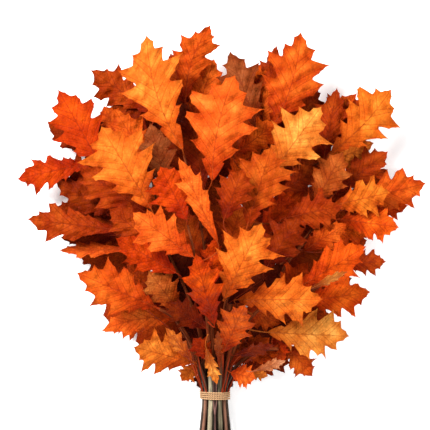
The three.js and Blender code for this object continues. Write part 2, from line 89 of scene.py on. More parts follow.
# Twigs, the bundle and the tie
TWIG_END_RADIUS = 1.7
BRANCH_RADIUS = 1.9
TWIG_TABLE_GAP = 0.8
TIE_Y = -267
TIE_Z = 24
TIE_RADIUS = 21.5
CORD_RADIUS = 1.35
CORD_PITCH = 3
CORD_TURNS = 4
PLY_RADIUS = 0.74
PLY_OFFSET = 0.62  # of a ply's middle from the cord's
PLY_SIDES = 7
TWIST_LENGTH = 7.5
TWIST_POINTS = 9
SEAT_GAP = 0.5
STRAIGHT = 12
PACKED_REACH = 6 * STRAIGHT  # how far over the tie the stems get painted shade where they face each other
BROWN_REACH = 5 * STRAIGHT  # and how far over it the bark has turned to twig brown
CUT_Y = -375
CUT_Z = 23.12
CUT_SPREAD = 1.7
CUT_SWELL = 1.25
FORK_Y = -295
FORK_TURN = 6
FORK_RADIUS = 1.4
FORK_SIDES = 10
FORK_CUT_X = 1
FORK_CLEAR = 2  # beyond the last turn of the cord
FORK_REACH = 25
FORK_RISE = 14

# The skin of a tube. Furrows run along it: their number, and how the seed turns them. Lumps follow
# one another on it: their length, and how the seed shifts them.
FURROWS = ((3, 1), (5, 2.3))
LUMPS = ((11, 1), (4.3, 3))
LUMP_SHARE = 0.6  # of the furrows' depth
BARK_RIDGE = 0.035  # depth of the furrows as a share of the radius
FORK_RIDGE = 0.03
PLY_RIDGE = 0.04
SEED_SHIFT = 37  # sideways, of the place where textures are read
PATTERN_SPAN = 900  # leaves read their textures at places up to this far apart
NO_VEIN = 10.0  # the distance to a vein that a point without one has

# Random draws
STEM_SEED = 100
FORK_SEED = 1.7
PLY_SEED = 2.0
FRAME_SEED = 7
DRAW_FACTOR = 16807
DRAW_MODULUS = 2147483647

# The nested shells on which the leaves lie
LEVELS = 10
PILE_POWER = 1.3
DOME_HEIGHT = 215
DOME_REACH = 330
DOME_CENTRE_Y = 10
DOME_RIM = 0.45
NECK_LOW = 6
NECK_HIGH = 64
NECK_REACH = 200
FLOOR_REACH = 130

# One side of a blade from stalk to tip: share of the length and share of the half width. A tooth
# is sharp, and a bay between two lobes is round.
MARGIN = [
    ("tooth", 0.0, 0.03),
    ("tooth", 0.14, 0.3),
    ("bay", 0.16, 0.21),
    ("tooth", 0.23, 0.47),
    ("tooth", 0.3, 0.66),
    ("bay", 0.32, 0.43),
    ("tooth", 0.42, 0.74),
    ("tooth", 0.47, 0.85),
    ("tooth", 0.53, 1.0),
    ("bay", 0.55, 0.52),
    ("tooth", 0.63, 0.78),
    ("tooth", 0.68, 0.88),
    ("tooth", 0.745, 1.02),
    ("bay", 0.74, 0.48),
    ("tooth", 0.8, 0.48),
    ("tooth", 0.86, 0.53),
    ("bay", 0.86, 0.25),
    ("tooth", 0.93, 0.19),
    ("tooth", 1.0, 0.0),
]
# Side veins: where they leave the midrib, and the point of the margin they run to.
SIDE_VEINS = [
    (0.08, 0.3, 0.64),
    (0.16, 0.42, 0.76),
    (0.25, 0.53, 0.98),
    (0.35, 0.63, 0.8),
    (0.45, 0.745, 1.0),
    (0.56, 0.8, 0.48),
    (0.67, 0.86, 0.52),
]
VEIN_BEND = 0.06
VEIN_STOP = 0.93  # share of the way at which a side vein fades out
BASE_BULGE = 0.07
TOOTH_HOLLOW = 0.2
BAY_REACH = 0.2
JITTER_ALONG = 0.009
JITTER_ACROSS = 0.07
LOBE_SHIFT = 0.022  # how far one side's lobes lie before or after the other side's
LOBE_PUSH = (0.86, 1.08)  # under 1 moves a leaf's lobes towards its tip
BASE_SHADE_DEPTH = 1.0  # steps of colour depth at the stalk, at the margin and in blotches; the one at the stalk, deeper and redder, is also painted shade of the leaves over it
BASE_SHADE_REACH = 0.55  # share of the length
MARGIN_DEPTH = 0.4
MARGIN_FADE = 5
BLOTCH_DEPTH = 0.2
BLOTCH_WAVES = (7, 24, 70)  # number, least and greatest length
LEAF_DEPTH = -0.25  # of a whole leaf, on average
LEAF_DEPTH_SPREAD = 0.08

# Colours of a blade as 8-bit screen values
TONES = {
    "gold": (250, 148, 66),
    "apricot": (241, 118, 40),
    "honey": (228, 108, 30),
    "flame": (240, 102, 34),
    "blaze": (238, 90, 18),
    "orange": (220, 87, 22),
    "ochre": (203, 82, 20),
    "vivid": (204, 62, 5),
    "russet": (174, 59, 10),
    "sienna": (145, 45, 4),
    "mauve": (156, 72, 36),
    "tan": (190, 89, 36),
    "pink": (250, 165, 132),
    "dark": (88, 22, 3),
}
STAGE_GAIN = (0.63, 0.61, 0.42)  # the share of a colour that the bright stage light needs
DARKER = (0.62, 0.36, 0.2)  # one step of colour depth: it takes more of the green and the blue
UNDERSIDE = (150, 86, 54)
UNDERSIDE_SHARE = 0.35  # the rest is the colour of the upper side
PETIOLE_COLOUR = (124, 40, 16)
PETIOLE_LEAF_SHARE = 0.4  # of the leaf's colour in its petiole and midrib
BARKS = {
    "grey": (98, 86, 76),
    "pale": (176, 162, 132),
    "plum": (118, 84, 76),
    "olive": (116, 106, 84),
    "russet": (140, 98, 78),
}
BARK_DEPTH = 0.62
CREVICE_SHADE = 0.1  # brightness of the painted shade on a stem where it faces its neighbours in the bundle
# the facing at which the painted crevice shade is full, and the facing at which it is gone
CREVICE_FACING = (0.1, 0.9)
TWIG_BROWN = (100, 42, 18)
CUT_WOOD = (206, 178, 134)
JUTE = (186, 146, 106)

# Each stem as in the frame, with the kind of its bark. The row of a leaf has its tone, level, stalk
# end x and y, tip x and y and width, and on some leaves also the sideways slope, the rise at the tip,
# the bow of the midrib and the push of the lobes. The rows under "fill" are more leaves deep in the
# bunch. A thin stalk has its angle in the bundle and the points it passes.
STEMS = [{
    "name": "front_left_stem", "bark": "pale", "angle": 112, "radius": 4.0, "level": 7.6,
    "twigs": [[(-8, -190), (-14, -130), (-27, -65), (-39, -14)]],
    "stalks": [(128, (-22, -225), (-26, -190))],
    "leaves": [
        ("vivid", 7.9, -41, -6, -78, 69, 76, 0, 6),
        ("flame", 8.3, 4, -39, -52, 83, 38, -0.6, 10),
        ("flame", 8.3, -31, -59, -117, 4, 67, 0.1, 4),
        ("vivid", 9.2, -1, -157, -28, -53, 58, 0.15, 8),
        ("vivid", 8.4, -3, -215, -32, -178, 35, 0.2, 2),
        ("gold", 9.3, -13, -192, 3, -250, 22, 0.6, -4),
        ("sienna", 7.8, -12, -165, -70, -124, 49),
        ("vivid", 7.1, -6, -105, -1, -33, 41),
    ],
}, {
    "name": "front_right_stem", "bark": "olive", "angle": 67, "radius": 4.2, "level": 8.0,
    "twigs": [[(9, -195), (14, -135), (28, -65), (44, -22)]],
    "stalks": [(53, (12, -212), (11, -140)), (60, (18, -222), (24, -195))],
    "leaves": [
        ("ochre", 7.2, 47, -13, 81, 98, 93, 0, 4),
        ("russet", 7.8, 13, -6, 40, 67, 61, 0, 5),
        ("apricot", 8.8, 13, -118, 66, -11, 93, 0, 6),
        ("flame", 8.8, 12, -200, 43, -127, 58, 0.1, 5),
        ("tan", 9.4, 6, -221, 4, -166, 15, 1.0, 4),
    ],
}, {
    "name": "right_front_stem", "bark": "russet", "angle": 38, "radius": 3.6, "level": 7.2,
    "twigs": [[(25, -190), (55, -145), (88, -118), (114, -107)]],
    "stalks": [(47, (25, -222), (42, -202), (80, -187))],
    "leaves": [
        ("apricot", 8.1, 33, -121, 154, -120, 81, 0, 4),
        ("gold", 6.5, 77, -171, 195, -176, 79, 0.1, 3),
        ("blaze", 7.0, 122, -103, 218, -45, 67, 0, 3),
        ("gold", 7.8, 132, -107, 191, -80, 15, 0.9, 3),
        ("sienna", 7.8, 28, -206, 88, -188, 22, 0.6, 2),
        ("flame", 7.6, 23, -232, 60, -240, 41, 0, 1),
    ],
}, {
    "name": "left_front_stem", "bark": "russet", "angle": 144, "radius": 3.6, "level": 6.8,
    "twigs": [[(-28, -205), (-48, -165), (-62, -147), (-80, -136)]],
    "stalks": [(160, (-33, -222), (-57, -175), (-97, -137)), (152, (-29, -220), (-34, -195))],
    "leaves": [
        ("orange", 6.6, -88, -132, -200, -83, 81, 0, 4),
        ("apricot", 7.2, -32, -217, -118, -191, 67, 0.1, 4),
        ("apricot", 8.2, -34, -213, -72, -161, 26, -0.6, 4),
        ("tan", 6.5, -52, -140, -96, -80, 58, 0, 3),
        ("sienna", 4.7, -72, -136, -130, -70, 55),
        ("flame", 5.6, -51, -152, -166, -169, 49, 0.1, 2, -9),
        ("apricot", 5.0, -27, -220, -50, -247, 32, 0, -2),
    ],
}, {
    "name": "left_middle_stem", "bark": "grey", "angle": 173, "radius": 4.0, "level": 5.9,
    "twigs": [[(-19, -190), (-42, -110), (-72, -45), (-89, 2)]],
    "leaves": [
        ("apricot", 7.4, -92, 10, -163, 127, 108, 0, 5, 0, 0.9),
        ("vivid", 6.9, -56, -83, -143, -33, 61, 0, 3),
        ("dark", 5.5, -29, -124, -68, -51, 64),
        ("dark", 5.3, -18, -196, -42, -148, 47),
        ("russet", 5.8, -91, -40, -154, 10, 52, 0, 3),
        ("russet", 4.4, -141, -22, -277, -6, 58),
    ],
    "fill": [("dark", 1.9, -20, -152, -72, -84, 62)],
}, {
    "name": "right_middle_stem", "bark": "plum", "angle": -16, "radius": 3.3, "level": 5.5,
    "twigs": [
        [(35, -180), (75, -95), (125, -45), (176, -9)],
        [(56, -138), (105, -122), (150, -105), (180, -87)],
    ],
    "leaves": [
        ("russet", 6.1, 102, -4, 184, 13, 64, 0.1, 3),
        ("sienna", 6.7, 73, -77, 122, 1, 67, 0, 4),
        ("orange", 5.7, 128, -52, 192, -12, 44),
        ("dark", 6.0, 19, -129, 100, -71, 55),
        ("vivid", 5.0, 89, -127, 136, -69, 49),
        ("russet", 3.2, 170, -52, 225, -37, 44),
        ("blaze", 4.9, 184, -6, 270, -18, 55),
        ("blaze", 4.6, 133, -127, 229, -113, 64),
        ("russet", 3.7, 189, -72, 253, -69, 41),
    ],
    "fill": [
        ("sienna", 2, 118, -120, 204, -94, 62),
        ("dark", 2.2, 40, -112, 92, -46, 56),
        ("russet", 2.6, 104, -150, 172, -150, 42),
    ],
}, {
    "name": "centre_stem", "bark": "grey", "angle": 100, "inner": 4.85, "radius": 4.1,
    "level": 6.0,
    "twigs": [[(-6, -150), (-18, -30), (-35, 50), (-45, 86)]],
    "leaves": [
        ("apricot", 6.6, -47, 95, -99, 261, 96, 0, 4, 12, 0.78),
        ("flame", 7.0, -4, 50, 29, 201, 108, 0, 5, 8, 0.9),
        ("mauve", 5.8, -70, 37, -94, 134, 58, 0, 3),
        ("russet", 4.8, -15, -77, -60, 13, 67),
    ],
    "fill": [
        ("sienna", 2, 0, -124, 10, -30, 82),
        ("dark", 2.2, -10, -112, -64, -48, 60),
    ],
}, {
    "name": "centre_right_stem", "bark": "grey", "angle": -20, "inner": 4.85, "radius": 4.1,
    "level": 5.0,
    "twigs": [[(20, -150), (48, -40), (66, 20), (76, 51)]],
    "leaves": [
        ("gold", 6.2, 80, 59, 154, 157, 90, 0, 4),
        ("tan", 5.2, 146, 17, 187, 93, 61, 0, 3),
        ("russet", 4.5, 99, 35, 154, 70, 47),
        ("orange", 5.9, 19, -54, 38, 16, 58),
        ("vivid", 4.0, 60, -31, 132, 35, 61),
        ("blaze", 5.3, 32, 91, 91, 135, 52),
    ],
}, {
    "name": "right_stem", "bark": "olive", "angle": -45, "radius": 3.3, "level": 4.6,
    "twigs": [[(45, -170), (110, -65), (150, -10), (165, 8)]],
    "leaves": [
        ("honey", 5.4, 172, 14, 256, 33, 61, 0.1, 3),
        ("orange", 4.1, 197, 18, 312, 47, 64),
        ("russet", 3.4, 180, 35, 256, 94, 58),
        ("apricot", 2.9, 152, 70, 236, 107, 55),
        ("blaze", 3.6, 152, -25, 235, -19, 58),
        ("honey", 4.6, 171, 92, 260, 186, 84, 0, 3, -6),
    ],
    "fill": [
        ("vivid", 2.6, 214, 8, 288, 14, 38),
        ("russet", 2.4, 200, 28, 256, 68, 40),
        ("russet", 2.8, 178, 112, 222, 176, 40),
    ],
}, {
    "name": "low_right_stem", "bark": "grey", "angle": 10, "radius": 3.0, "level": 6.4,
    "twigs": [[(28, -228), (46, -210), (70, -197), (92, -196)]],
    "stalks": [(25, (32, -232), (40, -217)), (20, (36, -226), (58, -205))],
    "leaves": [
        ("ochre", 4.8, 103, -189, 144, -238, 44, 0, -2),
        ("vivid", 5.6, 87, -175, 100, -217, 32, 0, -2),
        ("blaze", 6.0, 35, -210, 93, -203, 32, 0, 1),
        ("russet", 6.6, 22, -222, 80, -178, 47),
        ("pink", 7.3, 57, -229, 103, -212, 19, 0.5, 1),
        ("gold", 5.4, 47, -233, 79, -238, 20, 0.3, 0),
        ("russet", 6.2, 36, -138, 97, -158, 44, 0, 1),
    ],
    "fill": [("sienna", 3, 32, -234, 118, -204, 50)],
}, {
    "name": "top_right_stem", "bark": "olive", "angle": -72, "radius": 4.0, "level": 3.8,
    "twigs": [
        [(18, -150), (45, 0), (65, 80), (80, 125)],
        [(55, 35), (105, 55), (156, 78)],
    ],
    "leaves": [
        ("orange", 4.9, 86, 131, 126, 269, 93, 0, 4, -8),
        ("russet", 3.6, 161, 87, 180, 188, 58, 0, 3),
        ("mauve", 3.6, 63, 126, 22, 242, 64, 0, 3),
        ("blaze", 4.3, 20, 37, 60, 101, 52),
        ("orange", 3.0, 64, 111, 77, 197, 49),
        ("blaze", 2.6, 56, 122, 70, 226, 60),
        ("orange", 2.6, 134, 96, 212, 182, 62),
    ],
    "understory": [-1, -1],
    "fill": [
        ("russet", 2.9, 70, 150, 92, 252, 42),
        ("sienna", 2.8, 118, 118, 152, 198, 46),
    ],
}, {
    "name": "top_stem", "bark": "grey", "angle": -140, "inner": 4.85, "radius": 4.1,
    "level": 3.3,
    "twigs": [[(-5, -150), (-20, 0), (-32, 90), (-40, 163)]],
    "leaves": [
        ("orange", 4.2, -43, 173, -6, 280, 61, 0.2, 4, 9),
        ("orange", 3.0, -35, 129, -1, 231, 70, 0, 3),
        ("sienna", 4.4, -16, 40, -40, 157, 67),
        ("sienna", 2.7, -48, 50, -62, 140, 60),
    ],
    "understory": [1, -1],
    "fill": [("russet", 2.9, -44, 164, -66, 240, 46)],
}, {
    "name": "top_left_stem", "bark": "plum", "angle": -131, "radius": 3.5, "level": 3.6,
    "twigs": [
        [(-25, -170), (-65, -50), (-92, 50), (-95, 130)],
        [(-80, -5), (-122, 35), (-160, 61)],
    ],
    "leaves": [
        ("vivid", 4.6, -167, 72, -231, 185, 84, 0, 3),
        ("russet", 3.0, -93, 152, -185, 215, 64, 0, 3),
        ("orange", 3.8, -140, 110, -164, 161, 38),
        ("orange", 4.9, -94, 71, -148, 156, 64, 0, 3),
        ("russet", 4.25, -101, 3, -201, 72, 76),
        ("sienna", 2.6, -102, 118, -152, 186, 56),
    ],
    "understory": [1, 1],
    "fill": [("sienna", 2.8, -186, 92, -250, 140, 42)],
}, {
    "name": "left_stem", "bark": "olive", "angle": -158, "radius": 3.8, "level": 3.2,
    "twigs": [[(-40, -190), (-95, -95), (-140, -10), (-178, 62)]],
    "leaves": [
        ("vivid", 3.9, -184, 77, -293, 53, 55),
        ("sienna", 3.3, -143, 1, -237, 50, 58),
        ("flame", 3.0, -129, -50, -233, -53, 26, 0.4, 1),
        ("sienna", 2.4, -156, 46, -230, 78, 48),
    ],
    "fill": [
        ("sienna", 2.6, -146, -30, -230, -34, 42),
        ("sienna", 2.3, -150, -2, -242, 10, 46),
        ("sienna", 2.2, -172, 34, -238, 52, 36),
    ],
}, {
    "name": "back_stem", "bark": "grey", "angle": -101, "radius": 3.6, "level": 0.15,
    "twigs": [
        [(0, -205), (0, -150), (0, -110), (0, -72)],
        [(0, -165), (-45, -105), (-62, -40), (-66, 52)],
        [(0, -165), (45, -105), (62, -40), (66, 52)],
    ],
    "leaves": [
        ("sienna", 0, 0, -62, 0, 62, 98),
        ("russet", 0, -92, -78, -200, -30, 104),
        ("sienna", 0, 92, -78, 200, -30, 104),
        ("sienna", 0, -70, 60, -128, 165, 88),
        ("sienna", 0, 70, 60, 128, 165, 88),
        ("sienna", 0.7, 60, -35, 186, 22, 102),
        ("sienna", 0.9, 62, 40, 166, 122, 100),
        ("sienna", 0.8, 8, 52, 22, 172, 98),
        ("dark", 0.7, -32, 82, -52, 212, 96),
        ("sienna", 0.7, -66, -30, -190, 34, 102),
        ("dark", 0.9, -92, 50, -184, 138, 96),
        ("russet", 0.7, 50, -128, 166, -138, 104),
        ("russet", 0.7, -62, -128, -168, -150, 88),
        ("russet", 1.3, -40, -40, -90, 50, 74),
        ("russet", 0.95, 130, -5, 222, 22, 70),
        ("russet", 0.95, -28, -195, -118, -168, 76),
        ("dark", 0.95, 28, -190, 112, -172, 76),
        ("sienna", 1.2, 2, -205, 8, -95, 96),
        ("dark", 0.9, 3, -234, 34, -184, 46),
        ("dark", 0.9, -5, -234, -36, -184, 46),
        ("sienna", 1.4, 46, -66, 70, 30, 64),
    ],
    "fill": [("dark", 1.0, 0, -208, 0, -268, 74)],
}]


# Small helpers
def smoothstep(x, low, high):
    t = np.clip((x - low) / (high - low), 0, 1)
    return t * t * (3 - 2 * t)


def lerp(a, b, t):
    return a + (b - a) * t


def unit(v):
    return v / np.linalg.norm(v)


def hump(share):
    """0 at both ends of a way and 1 in its middle."""
    return 4 * share * (1 - share)


def linear(colour):
    """The scene-linear value of an 8-bit screen colour."""
    c = np.array(colour) / 255
    return np.where(c <= 0.04045, c / 12.92, ((c + 0.055) / 1.055) ** 2.4)


def pigment(colour):
    """A leaf's own colour, which the light of the stage brightens to the screen colour."""
    return STAGE_GAIN * linear(colour)


def shell_height(level, x, y):
    """Height of the shell of a level over a point of the table."""
    reach = np.hypot(x, y - TIE_Y)
    low = NECK_LOW * (1 - smoothstep(reach, 0, FLOOR_REACH))
    out = (x * x + (y - DOME_CENTRE_Y) ** 2) / DOME_REACH**2
    dome = DOME_RIM + (1 - DOME_RIM) * np.sqrt(np.maximum(0, 1 - out))
    high = lerp(NECK_HIGH, DOME_HEIGHT * dome, smoothstep(reach, 0, NECK_REACH))
    return lerp(low, high, (level / LEVELS) ** PILE_POWER)


class Spline:
    """A centripetal Catmull-Rom curve through points, for t from 0 to 1."""

    def __init__(self, points):
        self.points = [np.asarray(p, float) for p in points]

    def at(self, t):
        p = self.points
        place = (len(p) - 1) * t
        i = min(int(place), len(p) - 2)
        before = p[i - 1] if i > 0 else 2 * p[0] - p[1]
        after = p[i + 2] if i + 2 < len(p) else 2 * p[-1] - p[-2]
        gap0 = math.sqrt(np.linalg.norm(p[i] - before))
        gap1 = math.sqrt(np.linalg.norm(p[i + 1] - p[i]))
        gap2 = math.sqrt(np.linalg.norm(after - p[i + 1]))
        step = (p[i + 1] - p[i]) / gap1
        leave = (p[i] - before) / gap0 - (p[i + 1] - before) / (gap0 + gap1) + step
        arrive = step - (after - p[i]) / (gap1 + gap2) + (after - p[i + 1]) / gap2
        leave, arrive = leave * gap1, arrive * gap1
        w = place - i
        c2 = 3 * (p[i + 1] - p[i]) - 2 * leave - arrive
        c3 = 2 * (p[i] - p[i + 1]) + leave + arrive
        return p[i] + leave * w + c2 * w * w + c3 * w**3

    def sample(self, count):
        return np.array([self.at(t) for t in np.linspace(0, 1, count + 1)])

    def at_share(self, share):
        """The point and the direction at a share of the curve's length."""
        fine = 200
        line = self.sample(fine)
        run = np.concatenate([[0], np.cumsum(np.linalg.norm(np.diff(line, axis=0), axis=1))])
        t = np.interp(share * run[-1], run, np.linspace(0, 1, fine + 1))
        small = 1e-4
        return self.at(t), unit(self.at(t + small) - self.at(t - small))


class Piece:
    """Gathers the vertices, faces and vertex values of one mesh."""

    def __init__(self):
        self.points, self.faces, self.tones, self.patterns, self.veins = [], [], [], [], []
        self.count = 0

    def add(self, points, faces, tone, pattern, vein):
        """tone is the colour, pattern the place where textures are read, vein the distance to one."""
        number = len(points)
        self.points.append(points)
        self.faces.extend([tuple(i + self.count for i in face) for face in faces])
        self.tones.append(np.broadcast_to(tone, (number, 3)))
        self.patterns.append(pattern)
        self.veins.append(np.broadcast_to(vein, number))
        self.count += number

    def make(self, name, material):
        mesh = bpy.data.meshes.new(name)
        points = np.concatenate(self.points) * MM
        mesh.from_pydata(points.tolist(), [], self.faces)
        for label, kind, field, values in (
            ("tone", "FLOAT_VECTOR", "vector", np.concatenate(self.tones)),
            ("pattern", "FLOAT_VECTOR", "vector", np.concatenate(self.patterns)),
            ("vein", "FLOAT", "value", np.concatenate(self.veins)),
        ):
            layer = mesh.attributes.new(label, kind, "POINT")
            layer.data.foreach_set(field, np.asarray(values, np.float32).ravel())
        mesh.polygons.foreach_set("use_smooth", [True] * len(mesh.polygons))
        mesh.set_sharp_from_angle(angle=math.radians(SHARP_ANGLE))
        mesh.materials.append(material)
        made = bpy.data.objects.new(name, mesh)
        bpy.context.scene.collection.objects.link(made)
        return made


def tube(piece, line, radii, sides, tone, seed, ridge=0.0, end_tone=None, outward=None):
    """Adds a closed tube along a line, furrowed by ridge, a share of its radius.

    A stem of the bundle faces outward to one side, given as x and z, and is painted in shade on the
    others.
    """
    line = np.asarray(line, float)
    radii = np.broadcast_to(radii, len(line))
    ahead = np.gradient(line, axis=0)
    ahead /= np.linalg.norm(ahead, axis=1)[:, None]
    across = np.cross(ahead, (0, 0, 1))
    across /= np.linalg.norm(across, axis=1)[:, None]
    over = np.cross(across, ahead)
    run = np.concatenate([[0], np.cumsum(np.linalg.norm(np.diff(line, axis=0), axis=1))])
    turn = np.arange(sides) * 2 * math.pi / sides
    furrow = sum(np.sin(number * turn + spin * seed) for number, spin in FURROWS)
    lump = sum(np.sin(run / length + shift * seed) for length, shift in LUMPS)
    swell = 1 + ridge * (furrow + LUMP_SHARE * lump[:, None] * np.cos(turn + seed))
    size = radii[:, None] * swell
    cosine, sine = np.cos(turn), np.sin(turn)
    ring = across[:, None, :] * cosine[:, None] + over[:, None, :] * sine[:, None]
    points = line[:, None, :] + ring * size[:, :, None]
    pattern = np.stack(np.broadcast_arrays(
        run[:, None], radii[:, None] * cosine + SEED_SHIFT * seed, radii[:, None] * sine), axis=-1)
    faces = []
    for i in range(len(line) - 1):
        for k in range(sides):
            a, b = i * sides + k, i * sides + (k + 1) % sides
            faces.append((a, a + sides, b + sides, b))
    ends = [tuple(range(sides)), tuple(reversed(range(sides)))]
    shade = np.ones((len(line), sides))
    # painted shade where a stem of the bundle faces its neighbours, fading out above the tie
    if outward is not None:
        facing = ring[:, :, 0] * outward[0] + ring[:, :, 2] * outward[1]
        hidden = 1 - smoothstep(facing, *CREVICE_FACING)
        packed = 1 - smoothstep(line[:, 1], TIE_Y + STRAIGHT, TIE_Y + PACKED_REACH)
        shade = 1 - packed[:, None] * (1 - CREVICE_SHADE) * hidden
    tones = np.broadcast_to(tone, (len(line), 3))[:, None, :] * shade[:, :, None]
    piece.add(points.reshape(-1, 3), faces, tones.reshape(-1, 3), pattern.reshape(-1, 3), NO_VEIN)
    for at, face, cap_tone in zip((0, -1), ends, (end_tone, None)):
        cap = tones[at] if cap_tone is None else cap_tone
        piece.add(points[at], [face], cap, pattern[at], NO_VEIN)


# Leaves
class Leaf:
    """The place, size and lobes of a blade, from one row of a stem."""

    def __init__(self, tone, level, base_x, base_y, tip_x, tip_y, width,
                 slope=0, rise=None, bow=0, push=None):
        self.tone, self.level, self.width = tone, level, width
        self.lies_flat = level < FLAT_LEVEL
        usual_rise = 0 if self.lies_flat else LEAF_RISE
        self.rise = usual_rise if rise is None else rise
        self.slope, self.bow = slope, bow
        self.base = np.array([base_x, base_y], float)
        way = np.array([tip_x, tip_y]) - self.base
        self.length = np.linalg.norm(way)
        self.along = way / self.length
        self.ahead = np.array([*self.along, 0.0])
        self.push, self.shifts = push, (0.0, 0.0)

    def vary(self, rng):
        """Gives the leaf lobes of its own: how far to the tip they sit, left and right."""
        self.push = self.push or rng.uniform(*LOBE_PUSH)
        self.shifts = rng.gauss(0, LOBE_SHIFT), rng.gauss(0, LOBE_SHIFT)

    def share(self, u, side):
        """Where a point of the common outline falls on this leaf, as a share of its length."""
        return u**self.push + self.shifts[side] * hump(u)

    def place(self, run, left):
        """Points of the blade's middle, at distances along the midrib and to its left."""
        share = run / self.length
        aside = left + self.bow * hump(share)
        x = self.base[0] + self.along[0] * run - self.along[1] * aside
        y = self.base[1] + self.along[1] * run + self.along[0] * aside
        droop = 0 if self.lies_flat else BLADE_DROOP * np.abs(left)
        z = shell_height(self.level, x, y) + self.slope * left + self.rise * share**2 - droop
        return np.stack([x, y, z + BLADE_LIFT * math.hypot(1, self.slope)], axis=-1)


def arc(a, pull, b, step):
    """Points after a on a curve from a to b that is drawn towards pull."""
    count = max(2, round(np.linalg.norm(b - a) / step))
    t = np.linspace(0, 1, count + 1)[1:, None]
    return (1 - t) ** 2 * a + 2 * t * (1 - t) * pull + t * t * b


def half_margin(leaf, side, rng):
    """One side's margin from stalk to tip, as distances along the midrib and away from it."""
    scale = np.array([leaf.length, leaf.width / 2])
    ends = (0, len(MARGIN) - 1)
    keys = []
    for i, (kind, u, out) in enumerate(MARGIN):
        loose = 0 if i in ends else 1
        share = leaf.share(u, side) + loose * rng.gauss(0, JITTER_ALONG)
        if leaf.lies_flat:
            out += loose * SHALLOW * max(0, 1 - out)
        elif kind == "bay":
            out += NARROW_FILL * (1 - smoothstep(leaf.width, *NARROW_WIDTHS)) * (1 - out)
        keys.append(scale * (share, out * (1 + loose * rng.gauss(0, JITTER_ACROSS))))
    line = [keys[0]]
    for i in range(len(keys) - 1):
        a, b = keys[i], keys[i + 1]
        chord = b - a
        size = np.linalg.norm(chord)
        inward = np.array([chord[1], -chord[0]])
        if MARGIN[i + 1][0] == "bay":
            along = unit(keys[i + 2] - a)
            pull = b - along * BAY_REACH * size
        elif MARGIN[i][0] == "bay":
            along = unit(b - keys[i - 1])
            pull = a + along * BAY_REACH * size
        elif i == 0:
            pull = (a + b) / 2 - inward * BASE_BULGE
        else:
            pull = (a + b) / 2 + inward * TOOTH_HOLLOW
        line.extend(arc(a, pull, b, MARGIN_STEP))
    return np.array(line)


def vein_lines(leaf):
    """The midrib and the side veins as lists of points."""
    runs = np.linspace(0, MIDRIB_END, round(leaf.length / GRID_STEP)) * leaf.length
    midrib = np.stack([runs, np.zeros(len(runs))], axis=1)
    lines = [midrib]
    for side in (0, 1):
        for start, u, out in SIDE_VEINS:
            at = leaf.share(start, side) * leaf.length
            foot = midrib[np.argmin(np.abs(midrib[:, 0] - at))]
            lobe = np.array([leaf.share(u, side) * leaf.length, out * leaf.width / 2])
            end = lerp(foot, lobe, VEIN_STOP)
            bend = (foot + end) / 2 + VEIN_BEND * np.array([end[1] - foot[1], foot[0] - end[0]])
            line = np.concatenate([[foot], arc(foot, bend, end, GRID_STEP)])
            lines.append(line * (1, 1 - 2 * side))
    return lines


def distance_to(points, starts, ends):
    """The distance from each point to the nearest of some straight pieces."""
    way = ends - starts
    offset = points[:, None, :] - starts[None]
    along = (offset * way[None]).sum(2) / np.maximum((way * way).sum(1), TINY)[None]
    nearest = offset - np.clip(along, 0, 1)[:, :, None] * way[None]
    return np.sqrt((nearest**2).sum(2).min(1))


def blade_flat(leaf, rng):
    """The flat blade: points, triangles, and each point's distance to a vein and to the margin."""
    left, right = half_margin(leaf, 0, rng), half_margin(leaf, 1, rng) * (1, -1)
    loop = np.concatenate([left, right[-2::-1]])
    veins = vein_lines(leaf)
    points = [loop]
    edges = []
    count = len(loop)
    for line in veins:
        edges.extend((count + i, count + i + 1) for i in range(len(line) - 1))
        points.append(line)
        count += len(line)
    vein_starts = np.concatenate([line[:-1] for line in veins])
    vein_ends = np.concatenate([line[1:] for line in veins])
    next_on_loop = np.roll(loop, -1, axis=0)
    runs = np.arange(GRID_STEP, leaf.length, GRID_STEP)
    reach = GRID_REACH * leaf.width
    asides = np.arange(-reach, reach, GRID_STEP)
    grid = np.stack(np.meshgrid(runs, asides), axis=-1)
    grid[1::2, :, 0] += GRID_STEP / 2
    grid = grid.reshape(-1, 2)
    clear = distance_to(grid, loop, next_on_loop) > GRID_CLEAR
    clear &= distance_to(grid, vein_starts, vein_ends) > GRID_CLEAR
    points.append(grid[clear])
    inside_only = 1  # of the ways in which the triangulation can treat its outline
    flat, _, faces, *_ = delaunay_2d_cdt(
        np.concatenate(points).tolist(), edges, [list(range(len(loop)))], inside_only, MERGE_DISTANCE)
    flat = np.array([tuple(p) for p in flat])
    used, faces = np.unique(np.array([tuple(f) for f in faces]), return_inverse=True)
    flat, faces = flat[used], faces.reshape(-1, 3)
    to_vein = distance_to(flat, vein_starts, vein_ends)
    to_edge = distance_to(flat, loop, next_on_loop)
    return flat, faces, to_vein, to_edge


def rim_edges(faces):
    """The directed edges that only one triangle has."""
    edges = np.concatenate([faces[:, (0, 1)], faces[:, (1, 2)], faces[:, (2, 0)]])
    both = np.sort(edges, axis=1)
    _, first, number = np.unique(both, axis=0, return_index=True, return_counts=True)
    return edges[first[number == 1]]


def blade_tone(leaf, flat, to_edge, rng):
    """The colour of each point of a blade's upper side."""
    share = flat[:, 0] / leaf.length
    # deeper, redder colour towards the stalk, which also paints the shade under the leaves over it
    depth = BASE_SHADE_DEPTH * (1 - smoothstep(share, 0, BASE_SHADE_REACH))
    depth += MARGIN_DEPTH * np.exp(-to_edge / MARGIN_FADE)
    blotches = BLOTCH_DEPTH * waves(flat, rng, *BLOTCH_WAVES)
    depth += blotches + rng.gauss(LEAF_DEPTH, LEAF_DEPTH_SPREAD)
    return pigment(TONES[leaf.tone]) * np.power(DARKER, depth[:, None])


def waves(flat, rng, count, shortest, longest):
    """An uneven field over the blade, mostly within -1.5..1.5, of waves that run in all directions."""
    total = np.zeros(len(flat))
    for _ in range(count):
        turn, phase = rng.uniform(0, 2 * math.pi), rng.uniform(0, 2 * math.pi)
        way = flat @ np.array([math.cos(turn), math.sin(turn)])
        total += np.sin(2 * math.pi * way / rng.uniform(shortest, longest) + phase)
    return total / math.sqrt(count / 2)


